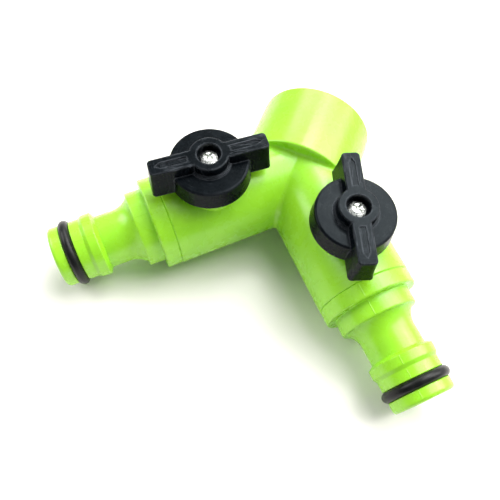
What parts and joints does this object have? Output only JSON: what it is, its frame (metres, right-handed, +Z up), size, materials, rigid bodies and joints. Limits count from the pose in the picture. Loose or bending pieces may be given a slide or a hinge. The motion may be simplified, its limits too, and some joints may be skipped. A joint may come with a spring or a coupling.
{
  "type": "hose splitter",
  "caption": "Y-shaped garden hose splitter: threaded inlet collar, barrels at a right angle, a quarter-turn bar knob on each and click-on hose spigots.",
  "frame": {"origin": "centre of the inlet collar's mouth", "axes": "+Y out of the inlet mouth along the collar axis, +Z up through the knobs, both barrel axes in Z = 0 at 45 degrees either side of -Y"},
  "size_m": [0.107, 0.0707, 0.0388],
  "materials": {
    "green_plastic": "moulded lime-green ABS, glossy with faint handling scratches",
    "black_plastic": "moulded black acetal, satin with scuffed top edges",
    "black_rubber": "satin nitrile rubber",
    "zinc_steel": "bright zinc plating",
    "ptfe": "white low-friction polymer",
    "acetal": "natural white acetal"
  },
  "bodies": {
    "manifold": {"y_body": "green_plastic", "inlet_washer": "black_rubber", "left_spigot": "green_plastic", "left_spigot_oring": "black_rubber", "left_seat_inner": "ptfe", "left_seat_outer": "ptfe", "right_spigot": "green_plastic", "right_spigot_oring": "black_rubber", "right_seat_inner": "ptfe", "right_seat_outer": "ptfe"},
    "left_valve": {"left_knob": "black_plastic", "left_knob_screw": "zinc_steel", "left_stem": "acetal", "left_stem_oring_lower": "black_rubber", "left_stem_oring_upper": "black_rubber", "left_ball": "acetal"},
    "right_valve": {"right_knob": "black_plastic", "right_knob_screw": "zinc_steel", "right_stem": "acetal", "right_stem_oring_lower": "black_rubber", "right_stem_oring_upper": "black_rubber", "right_ball": "acetal"}
  },
  "joints": [
    {"name": "left_valve_turn", "type": "hinge", "parent": "manifold", "child": "left_valve", "pos_m": [-0.01824, -0.03544, 0], "axis": [0, 0, 1], "range_deg": [-84.5, 5.5]},
    {"name": "right_valve_turn", "type": "hinge", "parent": "manifold", "child": "right_valve", "pos_m": [0.01824, -0.03544, 0], "axis": [0, 0, 1], "range_deg": [-69.5, 20.5]}
  ]
}
